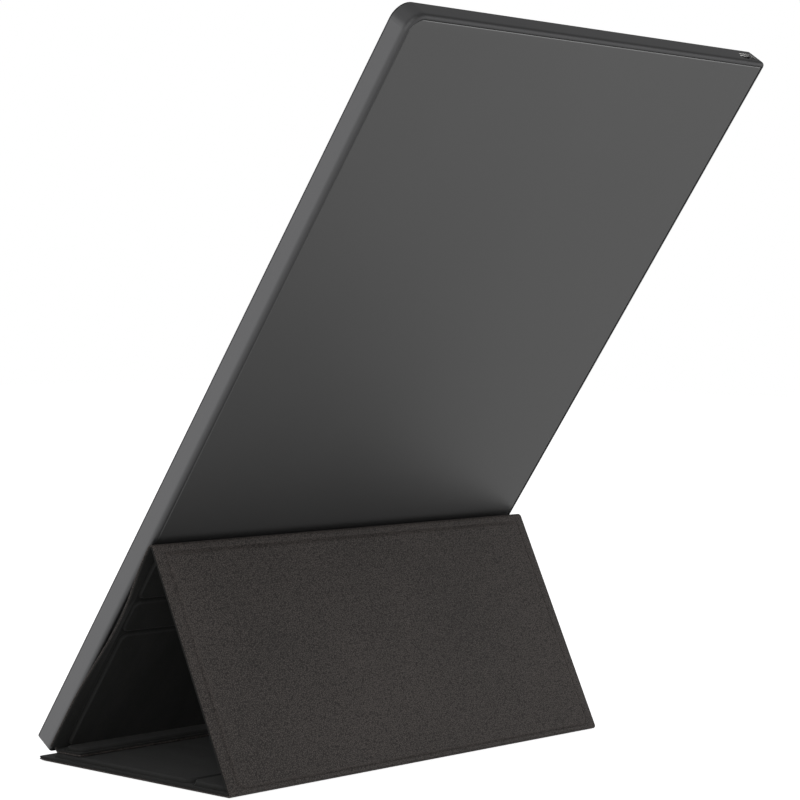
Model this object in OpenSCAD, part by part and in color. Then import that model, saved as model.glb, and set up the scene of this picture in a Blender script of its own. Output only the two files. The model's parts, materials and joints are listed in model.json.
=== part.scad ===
// Portable monitor standing in portrait on its own tri-fold cover.
// The base panel lies on the table, the back panel rises from its rear fold, and the support
// panel comes down from the ridge to a flap on the base. The monitor leans on the support panel.
// Frame: origin at the centre of the base's flat underside, +Z up, the screen looks towards -Y.
// Sheet frames: x across, y along the sheet, the lining faces +z and the leather faces -z.
// Monitor frame: x across, y up the long side, z from the back towards the screen.

/* [Monitor] */
// Thickness of the monitor
mon_t = 10; // [9.8:0.1:14]
// Radius of the monitor's upper corner away from the port
corner_r = 7.5; // [4:0.1:9]
// Radius of its three other corners
tight_r = 2; // [1.8:0.1:4]
// Rounding of the side band towards the back
edge_r = 1.5; // [1:0.1:1.6]
// Wall of the side band
wall = 1.4; // [1:0.1:1.8]
// Rim of the side band beside the back plate
rim = 1.7; // [1.65:0.05:2.2]
// Groove between that rim and the back plate
groove = 0.3; // [0.2:0.05:0.5]
// Thickness of the back plate
plate_t = 0.8; // [0.6:0.1:1.2]
// Width of the ledge that the back plate is glued to
ledge_w = 6.2; // [4.5:0.1:6.4]
// Thickness of that ledge
ledge_t = 1.2; // [0.8:0.1:1.3]

/* [Display] */
// Width of the picture
screen_w = 193.6; // [150:0.1:240]
// Height of the picture
screen_h = 344.2; // [280:0.1:420]
// Narrow bezel along one long side of the picture
bezel_side = 8.5; // [8:0.1:16]
// Wide bezel along the other long side, over the electronics
bezel_wide = 24.3; // [23:0.1:34]
// Bezel above and below the picture
bezel_end = 7.75; // [7.3:0.05:16]
// Thickness of the bezel
bezel_t = 0.8; // [0.6:0.1:1.4]
// Depth of the bezel's locating skirt
skirt_h = 1.2; // [0.8:0.1:2]
// Margin of the display cell around the picture
cell_margin = 2.7; // [2:0.1:2.9]
// Thickness of the display cell
cell_t = 1.4; // [1:0.1:1.6]
// Thickness of the diffuser films together
films_t = 0.5; // [0.3:0.1:0.8]
// Thickness of the light guide
guide_t = 1; // [0.7:0.1:1.2]
// Thickness of the reflector sheet
reflector_t = 0.2; // [0.1:0.05:0.3]
// Thickness of the backlight tray's sheet
tray_t = 0.3; // [0.2:0.05:0.5]
// Width of the strip with the lamps
lamp_strip_w = 2.2; // [1.8:0.1:2.6]
// Number of lamps along the light guide
lamps = 40; // [20:1:48]

/* [Inner frame and board] */
// Thickness of the inner frame's sheet
frame_t = 0.8; // [0.6:0.1:1]
// Length of the bosses that carry the main board
boss_h = 1.8; // [1.7:0.1:2]
// Radius of the bosses and screw posts
boss_r = 1.9; // [1.7:0.1:2.1]
// Distance of a screw post's wall from the side band's wall
post_gap = 1.2; // [0.8:0.1:1.4]
// Length of the main board across the monitor
board_len = 59; // [52:1:80]
// Height of the main board up the monitor
board_h = 67; // [64:1:80]
// Distance of the main board from the side band's wall, on the side of the buttons
board_gap = 2.8; // [2.6:0.1:3.2]
// Radius of the main board's upper corners
board_corner = 4; // [2:0.5:8]
// Thickness of the circuit boards
pcb_t = 0.8; // [0.6:0.1:1]
// Width of the display's flat cable
cable_w = 8; // [5:0.5:9]
// Thickness of the display's flat cable
cable_t = 0.3; // [0.2:0.05:0.4]
// Number of ribs along each long side
ribs = 5; // [2:1:8]
// Length of a rib
rib_len = 8; // [4:0.5:12]
// How far a rib stands in from the side band's wall
rib_w = 2; // [1.5:0.1:2.4]
// Radius of the screws' shanks
screw_r = 0.7; // [0.5:0.05:0.8]
// Radius of the screws' heads
head_r = 1.5; // [1.3:0.1:1.6]
// Height of the screws' heads
head_h = 0.5; // [0.3:0.05:0.6]

/* [Port] */
// Distance of the port's centre from the hidden long side
port_from_side = 8.8; // [8.8:0.1:14]
// Width of the port's metal shell
port_w = 8.94; // [8.8:0.01:9.2]
// Height of the port's metal shell
port_h = 3.26; // [3.2:0.01:3.4]
// Length of the port's metal shell
port_len = 7.4; // [6.5:0.1:9]
// Sheet of the port's metal shell
port_t = 0.3; // [0.2:0.05:0.35]
// Chamfered recess around the port's mouth
port_relief = 0.6; // [0.4:0.1:0.9]

/* [Buttons] */
// Length of a button
button_len = 11; // [8:0.1:14]
// Width of a button
button_w = 2.4; // [2:0.1:2.6]
// How far a button stands out
button_out = 0.5; // [0.45:0.05:0.7]
// How far a button can be pressed
travel = 0.4; // [0.3:0.05:0.4]
// Thickness of the flange that keeps a button in
flange_t = 0.7; // [0.5:0.1:0.8]
// Width of a push switch
switch_w = 4.4; // [3:0.1:6]
// Depth of a push switch
switch_d = 3.4; // [2.5:0.1:4.5]
// Height of a push switch
switch_t = 1.5; // [1.4:0.1:1.7]
// Distance of the power button's centre from the top end
power_from_top = 30; // [27:0.5:36]
// Distance between the two buttons' centres
button_pitch = 20; // [17:0.5:24]
// Radius of the status light pipe
pipe_r = 0.75; // [0.6:0.05:0.9]

/* [Cover] */
// How far the cover stands out beside the monitor
cover_margin = 2.8; // [0.5:0.1:8]
// Base panel, from the rear fold's axis to the foot fold's axis
fold_span = 102.8; // [98:0.1:108]
// Base panel, from the foot fold's axis to the front edge
front_lip = 11; // [9:0.1:16]
// Back panel, between its fold axes
back_len = 99.2; // [95:0.1:104]
// Support panel, between its fold axes
support_len = 104.5; // [100:0.1:109]
// Length of the foot flap
flap_len = 13.1; // [11:0.1:18]
// Thickness of the leather
skin_t = 0.8; // [0.6:0.1:1.2]
// Thickness of the lining
lining_t = 0.8; // [0.6:0.1:1.2]
// Thickness of the stiff boards
stiff_t = 1.8; // [1.4:0.1:2.4]
// Thickness of the flap's board
flap_stiff_t = 1.2; // [1:0.1:1.6]
// Pressed border beside the base's boards
border = 4; // [3:0.1:6]
// Pressed border beside the back panel's board and the support panel's short boards
upright_border = 6.5; // [3:0.1:8]
// Pressed border beside the flap's board, at its free edge and its ends
flap_border = 2.6; // [1.2:0.1:3]
// Pressed border beside the support panel's main board
main_border = 8.5; // [6:0.1:11]
// How far a board stands proud of the border on the leather side
proud = 0.6; // [0.3:0.1:0.9]
// Bevel beside a raised board
bevel = 1; // [0.6:0.1:1.4]
// Base panel's crease, from the rear fold's axis
base_crease = 22.8; // [18:0.1:30]
// Support panel's upper crease, from the ridge fold's axis
upper_crease = 25.5; // [20:0.1:28]
// Support panel's lower crease, from the ridge fold's axis
lower_crease = 43; // [38:0.1:50]
// Half the width of a crease between two boards
crease_half = 1.5; // [1.2:0.1:2]
// Distance of a board's end from the end of its panel at a fold
board_in = 1.2; // [1:0.1:1.6]
// Radius of the cover's free corners
sheet_corner_r = 2; // [2:0.1:6]
// How far the back panel's sheets run on past the rear fold's axis
back_reach = 2.4; // [1.8:0.1:2.4]
// How far the support panel's and the flap's sheets run on past the foot fold's axis
foot_reach = 1.4; // [1:0.1:1.4]
// Outer radius of the ridge and foot folds
fold_r = 2; // [1:0.1:2.4]
// Outer radius of the rear fold
rear_fold_r = 1.2; // [0.6:0.1:2]
// Radius of the lining's bend inside a fold
crease_r = 0.1; // [0.05:0.05:0.15]

/* [Magnets] */
// Number of magnet bars in a row
magnets = 4; // [2:1:4]
// Length of a magnet bar
magnet_len = 24; // [16:0.5:30]
// Width of a magnet bar in the support panel
magnet_w = 12; // [8:0.5:14]
// Width of a magnet bar in the flap
flap_magnet_w = 6; // [4:0.5:7]
// Distance between the magnet bars' centres
magnet_pitch = 56; // [44:1:60]
// Thickness of the steel strips that the magnets pull on
steel_t = 0.5; // [0.3:0.1:0.8]

/* [Clearances] */
// Gap between the support panel and the monitor's back
lean_gap = 0.3; // [0.2:0.05:0.5]
// Gap between the foot flap and the base
foot_gap = 0.3; // [0.2:0.05:0.5]
// Height of the monitor's lower edge above the base's border
lip_gap = 1.4; // [1:0.1:3]
// Gap round a moving button
slide_gap = 0.15; // [0.1:0.01:0.2]
// Gap round a fitted piece
fit_gap = 0.1; // [0.05:0.01:0.15]
// Gap between two panels at a fold
fold_gap = 0.3; // [0.25:0.05:0.5]
// Seam where a fold's strip meets the next panel's sheets
seam_gap = 0.02; // [0.01:0.01:0.1]

/* [Hidden] */
$fn = 48;
over = 1; // how far a cutting shape runs past what it cuts

// Outlines of the monitor and of the cover
mon_w = bezel_wide + screen_w + bezel_side;
mon_h = screen_h + 2 * bezel_end;
cover_w = mon_w + 2 * cover_margin;
half_cover = cover_w / 2;

// Thicknesses of the cover's panels
panel_t = skin_t + stiff_t + lining_t;
flap_t = skin_t + flap_stiff_t + lining_t;

// The triangle between the three fold axes, which lie on the panels' inner planes
base_len = front_lip + fold_span;
rear_y = (base_len + fold_gap) / 2;
rear_z = panel_t;
foot_y = rear_y - fold_span;
foot_z = panel_t + foot_gap + flap_t;
axis_line = norm([fold_span, foot_z - rear_z]);
rear_corner = acos((back_len ^ 2 + axis_line ^ 2 - support_len ^ 2) / (2 * back_len * axis_line));
back_angle = rear_corner + atan((foot_z - rear_z) / fold_span);
ridge_y = rear_y - back_len * cos(back_angle);
ridge_z = rear_z + back_len * sin(back_angle);
lean = atan((ridge_y - foot_y) / (ridge_z - foot_z));

// Directions of the sheet along each panel, from the base's front edge round to the flap
base_dir = 0;
back_dir = 180 - back_angle;
support_dir = 270 - lean;
flap_dir = 360;

// The monitor's lower back edge, measured down the support panel from the ridge axis
lean_n = panel_t + lean_gap;
border_top_z = skin_t + lining_t;
mon_down = (ridge_z + lean_n * sin(lean) - border_top_z - lip_gap) / cos(lean);
mon_y = ridge_y - mon_down * sin(lean) - lean_n * cos(lean);
mon_z = border_top_z + lip_gap;

// Layers of the monitor, measured from its back
ledge_top = plate_t + ledge_t;
band_top = mon_t - bezel_t;
cell_z = band_top - cell_t;
films_z = cell_z - films_t;
guide_z = films_z - guide_t;
reflector_z = guide_z - reflector_t;
tray_z = reflector_z - tray_t;
frame_z = tray_z - frame_t;
frame_top = frame_z + frame_t;
board_top = frame_z - boss_h;
board_z = board_top - pcb_t;

// Places across the monitor: the wide bezel lies on the -X side
side_x = mon_w / 2;
wall_in = side_x - wall;
screen_x1 = side_x - bezel_side;
screen_x0 = screen_x1 - screen_w;
cell_x0 = screen_x0 - cell_margin;
cell_x1 = screen_x1 + cell_margin;
cell_y0 = bezel_end - cell_margin;
cell_y1 = bezel_end + screen_h + cell_margin;
tray_rim = fit_gap + tray_t;
tray_x0 = cell_x0 - tray_rim;
tray_x1 = cell_x1 + tray_rim;
tray_y0 = cell_y0 - tray_rim;
tray_y1 = cell_y1 + tray_rim;

// Port, buttons and switches
port_x = -side_x + port_from_side;
port_z = board_top + port_h / 2;
port_y0 = mon_h - port_relief - port_len;
button_z = board_top + switch_t / 2;
power_y = mon_h - power_from_top;
menu_y = power_y - button_pitch;
pipe_y = (power_y + menu_y) / 2;
plunger = 0.5; // length of a switch's plunger
switch_x0 = -wall_in + slide_gap + flange_t + travel + plunger;

// Screw posts and ribs of the side band, and the driver board beside them
rib_pitch = mon_w * 0.2;
post_x = -wall_in + post_gap + boss_r;
posts = [mon_h * 0.08, mon_h * 0.5, mon_h * 0.76];
part_gap = 0.6; // between parts that stand side by side
driver_x0 = post_x + boss_r + part_gap;
driver_x1 = tray_x0 - fit_gap;
driver_t = 0.6;

// Main board, its screws, and the inner frame's notch and slot over it
board_x0 = -wall_in + board_gap;
board_x1 = board_x0 + board_len;
board_y1 = mon_h - wall - part_gap;
board_y0 = board_y1 - board_h;
notch_x = switch_x0 + switch_d + part_gap;
notch_y = menu_y - button_len / 2 - 4;
slot_len = 4;
slot_y0 = notch_y - 3 * slot_len;
slot_side = 0.5; // room beside the cable
cable_x = (driver_x0 + driver_x1) / 2;
driver_y0 = mon_h * 0.18;
driver_y1 = slot_y0 - slot_side;
boss_edge = boss_r + 2;
boss_y1 = mon_h - ledge_w - head_r - part_gap; // clear of the side band's ledge
bosses = [[cable_x + cable_w / 2 + boss_edge, board_y0 + boss_edge],
          [board_x1 - boss_edge, board_y0 + boss_edge],
          [board_x1 - boss_edge, boss_y1],
          [port_x + port_w / 2 + 2 * boss_edge, boss_y1]];

// Boards inside the cover: half width, start and end along the sheet
board_half = half_cover - border;
upright_half = half_cover - upright_border;
main_half = half_cover - main_border;
flap_half = half_cover - border + 1;
base_boards = [[board_half, -base_len + border + 2, -base_crease - crease_half],
               [board_half, -base_crease + crease_half, -fold_gap - board_in]];
back_boards = [[upright_half, -back_reach + board_in, back_len - fold_gap - board_in]];
support_boards = [[upright_half, fold_gap + board_in, upper_crease - crease_half],
                  [upright_half, upper_crease + crease_half, lower_crease - crease_half],
                  [main_half, lower_crease + crease_half, support_len + foot_reach - board_in]];
flap_boards = [[flap_half - flap_border, foot_gap + 0.2, flap_len - flap_border]];
magnet_s = (support_boards[0][1] + support_boards[0][2]) / 2;
flap_magnet_s = (flap_boards[0][1] + flap_boards[0][2]) / 2;

// Colours
shell_grey = [0.33, 0.33, 0.34];
band_grey = [0.42, 0.42, 0.44];
leather_brown = [0.2, 0.175, 0.16];
lining_grey = [0.16, 0.16, 0.17];
steel = [0.62, 0.63, 0.65];
board_green = [0.08, 0.3, 0.18];
stiff_grey = [0.45, 0.42, 0.38];
black = [0.05, 0.05, 0.055];

// ---------------------------------------------------------------- frames and helpers

module at_base() translate([0, rear_y, rear_z]) rotate([base_dir, 0, 0]) children();
module at_back() translate([0, rear_y, rear_z]) rotate([back_dir, 0, 0]) children();
module at_support() translate([0, ridge_y, ridge_z]) rotate([support_dir, 0, 0]) children();
module at_flap() translate([0, foot_y, foot_z]) rotate([flap_dir, 0, 0]) children();
module at_monitor() translate([0, mon_y, mon_z]) rotate([90 - lean, 0, 0]) children();

// Turns an outline in y and z into a bar along x, centred on x = 0
module along_x(length) rotate([90, 0, 90]) linear_extrude(length, center = true) children();

// Box between two corners
module box(low, high) translate(low) cube(high - low);

// Plane outline from y0 to y1, rounded by r0 at its low end and by r1 at its high end
module outline(half_w, y0, y1, r0 = 0, r1 = 0) {
    translate([-half_w, y0 + r0]) square([2 * half_w, y1 - y0 - r0 - r1]);
    if (r0 > 0) {
        translate([-half_w + r0, y0]) square([2 * (half_w - r0), 2 * r0]);
        for (side = [-1, 1]) translate([side * (half_w - r0), y0 + r0]) circle(r0);
    }
    if (r1 > 0) {
        translate([-half_w + r1, y1 - 2 * r1]) square([2 * (half_w - r1), 2 * r1]);
        for (side = [-1, 1]) translate([side * (half_w - r1), y1 - r1]) circle(r1);
    }
}

// Monitor's corners, anticlockwise from the rounder one: side, end, radius
mon_corners = [[1, 1, corner_r], [-1, 1, tight_r], [-1, -1, tight_r], [1, -1, tight_r]];

// Centre of the arc of a corner with radius r, on the outline drawn in by a distance
function corner_centre(c, r, inset) =
    [c[0] * (side_x - inset - r), mon_h / 2 + c[1] * (mon_h / 2 - inset - r)];

// Monitor's outline, drawn in by a distance all round: each straight side runs from arc to arc
module mon_outline(inset) {
    least_r = 0.4;
    arcs = [for (c = mon_corners) let (r = max(c[2] - inset, least_r))
        [corner_centre(c, r, inset), r]];
    polygon([for (i = [0 : 3], first = [true, false]) let (c = mon_corners[i], a = arcs[i])
        a[0] + a[1] * ((c[0] * c[1] > 0) == first ? [c[0], 0] : [0, c[1]])]);
    for (a = arcs) translate(a[0]) circle(a[1]);
}

// Slab of the monitor between two layers
module mon_slab(inset, z0, z1) translate([0, 0, z0]) linear_extrude(z1 - z0) mon_outline(inset);

// Slot with round ends
module slot(length, width) {
    square([length - width, width], center = true);
    for (side = [-1, 1]) translate([side * (length - width) / 2, 0]) circle(width / 2);
}

// Carries a shallow profile once round the monitor's outer edge. Its x runs inwards from the
// outer face, its y is z.
module round_the_rim(profile) {
    for (i = [0 : 3]) {
        c = mon_corners[i];
        next = mon_corners[(i + 1) % 4];
        centre = corner_centre(c, c[2], 0);
        run = norm(corner_centre(next, next[2], 0) + next[2] * ray(90 * (i + 1))
                   - centre - c[2] * ray(90 * (i + 1)));
        translate(centre) rotate(90 * i) {
            rotate_extrude(angle = 90) polygon([for (p = profile) [c[2] - p[0], p[1]]]);
            rotate(90) translate([c[2], 0, 0]) rotate([90, 0, 0]) mirror([1, 0, 0])
                translate([0, 0, -run]) linear_extrude(run) polygon(profile);
        }
    }
}

// What a round edge of radius r leaves outside it, at the back face or at the screen's face
function back_edge(r) =
    concat([[-over, -over], [r, -over]], arc([r, r], r, 270, 180, 12), [[-over, r]]);
function front_edge(r) = [for (p = back_edge(r)) [p[0], mon_t - p[1]]];

function ray(angle) = [cos(angle), sin(angle)];
function arc(centre, r, from, to, steps) =
    [for (i = [0 : steps]) centre + r * ray(from + (to - from) * i / steps)];

// ---------------------------------------------------------------- monitor

module back_plate() color(shell_grey) at_monitor() {
    step = 0.25;
    mon_slab(rim + groove + step, 0, step);
    mon_slab(rim + groove, step, plate_t);
}

module side_band() color(band_grey) at_monitor() difference() {
    union() {
        difference() {
            mon_slab(0, 0, band_top);
            mon_slab(rim, -over, plate_t);
            mon_slab(ledge_w, 0, ledge_top + over);
            mon_slab(wall, ledge_top, band_top + over);
            round_the_rim(back_edge(edge_r));
        }
        for (y = posts) translate([post_x, y, ledge_top - 0.2])
            cylinder(r = boss_r, h = frame_z - ledge_top + 0.2);
        for (i = [1 : ribs]) {
            rib_y = mon_h * i / (ribs + 1);
            box([wall_in - rib_w, rib_y - rib_len / 2, ledge_top - 0.2],
                [wall_in + 0.2, rib_y + rib_len / 2, frame_z]);
        }
        for (y0 = [wall - 0.2, mon_h - wall - rib_w], i = [0 : 2])
            box([i * rib_pitch, y0, ledge_top - 0.2],
                [i * rib_pitch + rib_len, y0 + rib_w + 0.2, frame_z]);
    }
    for (y = posts) translate([post_x, y, ledge_top]) cylinder(r = screw_r + 0.05, h = mon_t);
    port_cut();
    for (y = [power_y, menu_y]) translate([-side_x, y, button_z]) rotate([90, 0, 90])
        linear_extrude(2 * wall + over, center = true)
            slot(button_len + 2 * slide_gap, button_w + 2 * slide_gap);
    translate([-side_x - over, pipe_y, button_z]) rotate([0, 90, 0])
        cylinder(r = pipe_r + 0.05, h = wall + 2 * over);
}

// Hole for the port's shell, with a wider recess at its mouth
module port_cut() translate([port_x, mon_h, port_z]) rotate([90, 0, 0]) {
    linear_extrude(2 * (wall + over), center = true)
        slot(port_w + 2 * fit_gap, port_h + 2 * fit_gap);
    linear_extrude(2 * port_relief, center = true)
        slot(port_w + 2 * port_relief, port_h + 2 * port_relief);
}

plate_half = (magnet_pitch + magnet_len) / 2 + 2;

// Steel plates glued to the back plate, which the support panel's magnets pull on
module hold_plates() color(steel) at_monitor()
    for (side = [-1, 1])
        box([side * magnet_pitch - plate_half, mon_down - magnet_s - magnet_w, plate_t],
            [side * magnet_pitch + plate_half, mon_down - magnet_s + magnet_w,
             plate_t + steel_t]);

module inner_frame() color(steel) at_monitor() difference() {
    union() {
        mon_slab(wall + fit_gap, frame_z, frame_z + frame_t);
        for (p = bosses) translate([p[0], p[1], board_top])
            cylinder(r = boss_r, h = boss_h + 0.2);
    }
    box([-mon_w, notch_y, frame_z - over], [notch_x, mon_h + over, mon_t]);
    box([-mon_w, port_y0 - 2 * part_gap, frame_z - over],
        [port_x + port_w / 2 + 2 * part_gap, mon_h + over, mon_t]);
    box([cable_x - cable_w / 2 - slot_side, slot_y0, frame_z - over],
        [cable_x + cable_w / 2 + slot_side, slot_y0 + slot_len, mon_t]);
    for (p = bosses) translate([p[0], p[1], board_top - over])
        cylinder(r = screw_r + 0.05, h = boss_h + over - 0.1);
    for (y = posts) translate([post_x, y, frame_z - over]) cylinder(r = screw_r + 0.1, h = mon_t);
}

module main_board() color(board_green) at_monitor() difference() {
    translate([(board_x0 + board_x1) / 2, 0, board_z]) linear_extrude(pcb_t)
        outline(board_len / 2, board_y0, board_y1, 1, board_corner);
    for (p = bosses) translate([p[0], p[1], board_z - over])
        cylinder(r = screw_r + 0.1, h = pcb_t + 2 * over);
}

// Parts on the main board: centre from the board's low corner, size across and up, height
chips = [[30, 26, 12, 12, 1.1], [47, 27, 6, 8, 0.9], [47, 42, 7, 7, 1.5], [38, 44, 5, 5, 1.4],
         [20, 45, 8, 6, 0.9], [32, 57, 6, 4, 1.2], [44, 56, 5, 5, 1], [14, 14, 10, 3.5, 1.2],
         [30, 10, 5, 3, 0.8], [48, 12, 4, 6, 0.8]];

module board_chips() color(black) at_monitor()
    for (c = chips) translate([board_x0 + c[0], board_y0 + c[1], board_top + c[4] / 2])
        cube([c[2], c[3], c[4]], center = true);

// Pressed cover over the first chip, open towards the board
module shield_can() color(steel) at_monitor() {
    size = [18, 18];
    height = 1.5;
    sheet = 0.2;
    translate([board_x0 + chips[0][0], board_y0 + chips[0][1], board_top]) difference() {
        translate([-size[0] / 2, -size[1] / 2, 0]) cube([size[0], size[1], height]);
        translate([sheet - size[0] / 2, sheet - size[1] / 2, -over])
            cube([size[0] - 2 * sheet, size[1] - 2 * sheet, height + over - sheet]);
    }
}

module at_port() translate([port_x, port_y0, port_z]) rotate([90, 0, 0]) mirror([0, 0, 1])
    children();

module usb_c_receptacle() color(steel) at_monitor() {
    at_port() difference() {
        linear_extrude(port_len) slot(port_w, port_h);
        translate([0, 0, -over]) linear_extrude(port_len + 2 * over)
            slot(port_w - 2 * port_t, port_h - 2 * port_t);
    }
}

module usb_c_tongue() color(black) at_monitor() at_port() {
    back_len = 1.6;
    linear_extrude(back_len)
        slot(port_w - 2 * port_t - 2 * fit_gap, port_h - 2 * port_t - 2 * fit_gap);
    translate([0, 0, port_len / 2 - 0.4]) cube([6.7, 0.7, port_len - 0.8], center = true);
}

module usb_c_contacts() color([0.8, 0.65, 0.3]) at_monitor() at_port()
    for (side = [-1, 1], i = [-5.5 : 5.5])
        translate([i * 0.5, side * 0.4, port_len / 2 + 0.6]) cube([0.25, 0.1, 4], center = true);

module side_switches() color(steel) at_monitor()
    for (y = [power_y, menu_y]) translate([switch_x0, y, board_top]) {
        translate([0, -switch_w / 2, 0]) cube([switch_d, switch_w, switch_t]);
        translate([0.2, 0, switch_t / 2]) rotate([0, -90, 0])
            cylinder(r = switch_t * 0.4, h = plunger + 0.2 - fit_gap);
    }

// Cap that stands out of the wall, and the flange behind it that keeps it in
module button(y) color(black) at_monitor() translate([-side_x, y, button_z]) rotate([90, 0, 90]) {
    dome = 0.15;
    translate([0, 0, -button_out]) linear_extrude(dome)
        slot(button_len - 2 * dome, button_w - 2 * dome);
    translate([0, 0, dome - button_out])
        linear_extrude(button_out - dome + wall + slide_gap + flange_t / 2)
            slot(button_len, button_w);
    translate([0, 0, wall + slide_gap]) linear_extrude(flange_t)
        slot(button_len + 2 * flange_t, button_w + flange_t);
}
module power_button() button(power_y);
module menu_button() button(menu_y);

module status_light_pipe() color([0.9, 0.92, 0.95]) at_monitor()
    translate([-side_x, pipe_y, button_z]) rotate([0, 90, 0])
        cylinder(r = pipe_r, h = wall + board_gap + 2 * pipe_r);

module board_screws() color(steel) at_monitor()
    for (p = bosses) translate([p[0], p[1], board_z - head_h]) {
        cylinder(r = head_r, h = head_h);
        cylinder(r = screw_r, h = head_h + pcb_t + boss_h - 0.4);
    }

module frame_screws() color(steel) at_monitor()
    for (y = posts) translate([post_x, y, frame_top]) {
        cylinder(r = head_r, h = head_h);
        translate([0, 0, -frame_t - boss_h]) cylinder(r = screw_r, h = frame_t + boss_h + head_h / 2);
    }

// Pan of the display module, with a rim round its sheet
module backlight_tray() color(steel) at_monitor() difference() {
    box([tray_x0, tray_y0, tray_z], [tray_x1, tray_y1, cell_z]);
    box([tray_x0 + tray_t, tray_y0 + tray_t, tray_z + tray_t],
        [tray_x1 - tray_t, tray_y1 - tray_t, cell_z + over]);
}

module reflector_sheet() color("white") at_monitor()
    box([cell_x0, cell_y0, reflector_z], [cell_x1, cell_y1, guide_z]);

module light_guide() color([0.85, 0.9, 0.95]) at_monitor()
    box([cell_x0 + lamp_strip_w + fit_gap, cell_y0, guide_z], [cell_x1, cell_y1, films_z]);

module led_strip() color([0.95, 0.9, 0.6]) at_monitor() {
    flex = guide_t / 5;
    pitch = (cell_y1 - cell_y0) / lamps;
    box([cell_x0, cell_y0, guide_z], [cell_x0 + lamp_strip_w, cell_y1, guide_z + flex]);
    for (i = [0 : lamps - 1])
        box([cell_x0 + lamp_strip_w / 2, cell_y0 + pitch * (i + 0.25), guide_z + flex],
            [cell_x0 + lamp_strip_w, cell_y0 + pitch * (i + 0.75), films_z]);
}

module diffuser_films() color([0.93, 0.94, 0.95]) at_monitor()
    box([cell_x0, cell_y0, films_z], [cell_x1, cell_y1, cell_z]);

module lcd_glass() color([0.03, 0.03, 0.035]) at_monitor()
    box([tray_x0, tray_y0, cell_z], [tray_x1, tray_y1, band_top]);

module driver_board() color(board_green) at_monitor() {
    chip = [2.4, 14, 0.8];
    chip_count = 5;
    pitch = (driver_y1 - driver_y0) / chip_count;
    box([driver_x0, driver_y0, frame_top], [driver_x1, driver_y1, frame_top + driver_t]);
    for (i = [0 : chip_count - 1])
        translate([cable_x - chip[0] / 2, driver_y0 + pitch * (i + 0.2), frame_top + driver_t])
            cube(chip);
}

// Flat cable from the main board, through the inner frame's slot, to the driver board
module display_cable() color([0.75, 0.6, 0.3]) at_monitor() {
    landing = 6;
    high = frame_top + driver_t;
    path = [[board_y0 + landing, board_top], [slot_y0 + slot_len - slot_side, board_top],
            [slot_y0 + slot_side, high], [driver_y1 - landing, high]];
    bar = concat(path, [for (i = [3 : -1 : 0]) path[i] + [0, cable_t]]);
    translate([cable_x, 0, 0]) along_x(cable_w) polygon(bar);
}

// Frame of the screen, with its wide side on -X, a rounded outer edge and a skirt inside the band
module front_bezel() color(black) at_monitor() difference() {
    skirt_in = wall + fit_gap;
    skirt_t = 0.8;
    union() {
        mon_slab(0, band_top, mon_t);
        difference() {
            mon_slab(skirt_in, band_top - skirt_h, band_top + bezel_t / 2);
            mon_slab(skirt_in + skirt_t, band_top - skirt_h - over, mon_t);
        }
    }
    box([screen_x0, bezel_end, band_top - skirt_h - over],
        [screen_x1, bezel_end + screen_h, mon_t + over]);
    round_the_rim(front_edge(bezel_t / 2));
}

// ---------------------------------------------------------------- cover panels

// Sheet of the cover between two depths below its inner plane
module sheet(half_w, y0, y1, n0, n1, r0 = 0, r1 = 0)
    translate([0, 0, -n1]) linear_extrude(n1 - n0) outline(half_w, y0, y1, r0, r1);

// Raised field over a board: its flat top at depth top_n, bevelled down to depth foot_n
module field(board, foot_n, top_n) {
    half_w = board[0];
    y0 = board[1];
    y1 = board[2];
    intersection() {
        along_x(2 * (half_w + bevel)) polygon([[y0 - bevel, -foot_n], [y1 + bevel, -foot_n],
                                               [y1, -top_n], [y0, -top_n]]);
        translate([0, y1 + bevel, 0]) rotate([90, 0, 0]) linear_extrude(y1 - y0 + 2 * bevel)
            polygon([[-half_w - bevel, -foot_n], [half_w + bevel, -foot_n],
                     [half_w, -top_n], [-half_w, -top_n]]);
        translate([0, 0, -panel_t - over]) linear_extrude(panel_t + 2 * over)
            outline(half_w + bevel, y0 - bevel, y1 + bevel, sheet_corner_r, sheet_corner_r);
    }
}

// Stiff board between two depths, a little inside its raised field
module stiff_sheet(board, n0, n1) {
    inset = 0.3;
    sheet(board[0] - inset, board[1] + inset, board[2] - inset, n0, n1,
          sheet_corner_r - 1, sheet_corner_r - 1);
}

// Leather of a panel: flat border, and a raised field over each board
module leather(half_w, y0, y1, depth, rise, boards, r0 = 0, r1 = 0) difference() {
    union() {
        sheet(half_w, y0, y1, depth - rise - skin_t, depth - rise, r0, r1);
        if (rise > 0) for (b = boards) field(b, depth - rise - skin_t / 2, depth);
    }
    if (rise > 0) for (b = boards) stiff_sheet(b, 0, depth - skin_t);
}

// Lining of a panel, the other way up
module inner_sheet(half_w, y0, y1, depth, rise, boards, r0 = 0, r1 = 0) {
    foot = depth - rise - skin_t - lining_t;
    difference() {
        union() {
            sheet(half_w, y0, y1, foot, foot + lining_t, r0, r1);
            for (b = boards) field(b, foot + lining_t / 2, 0);
        }
        for (b = boards) stiff_sheet(b, lining_t, depth);
    }
}

module stiffener(board, thickness) stiff_sheet(board, lining_t, lining_t + thickness);

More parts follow.
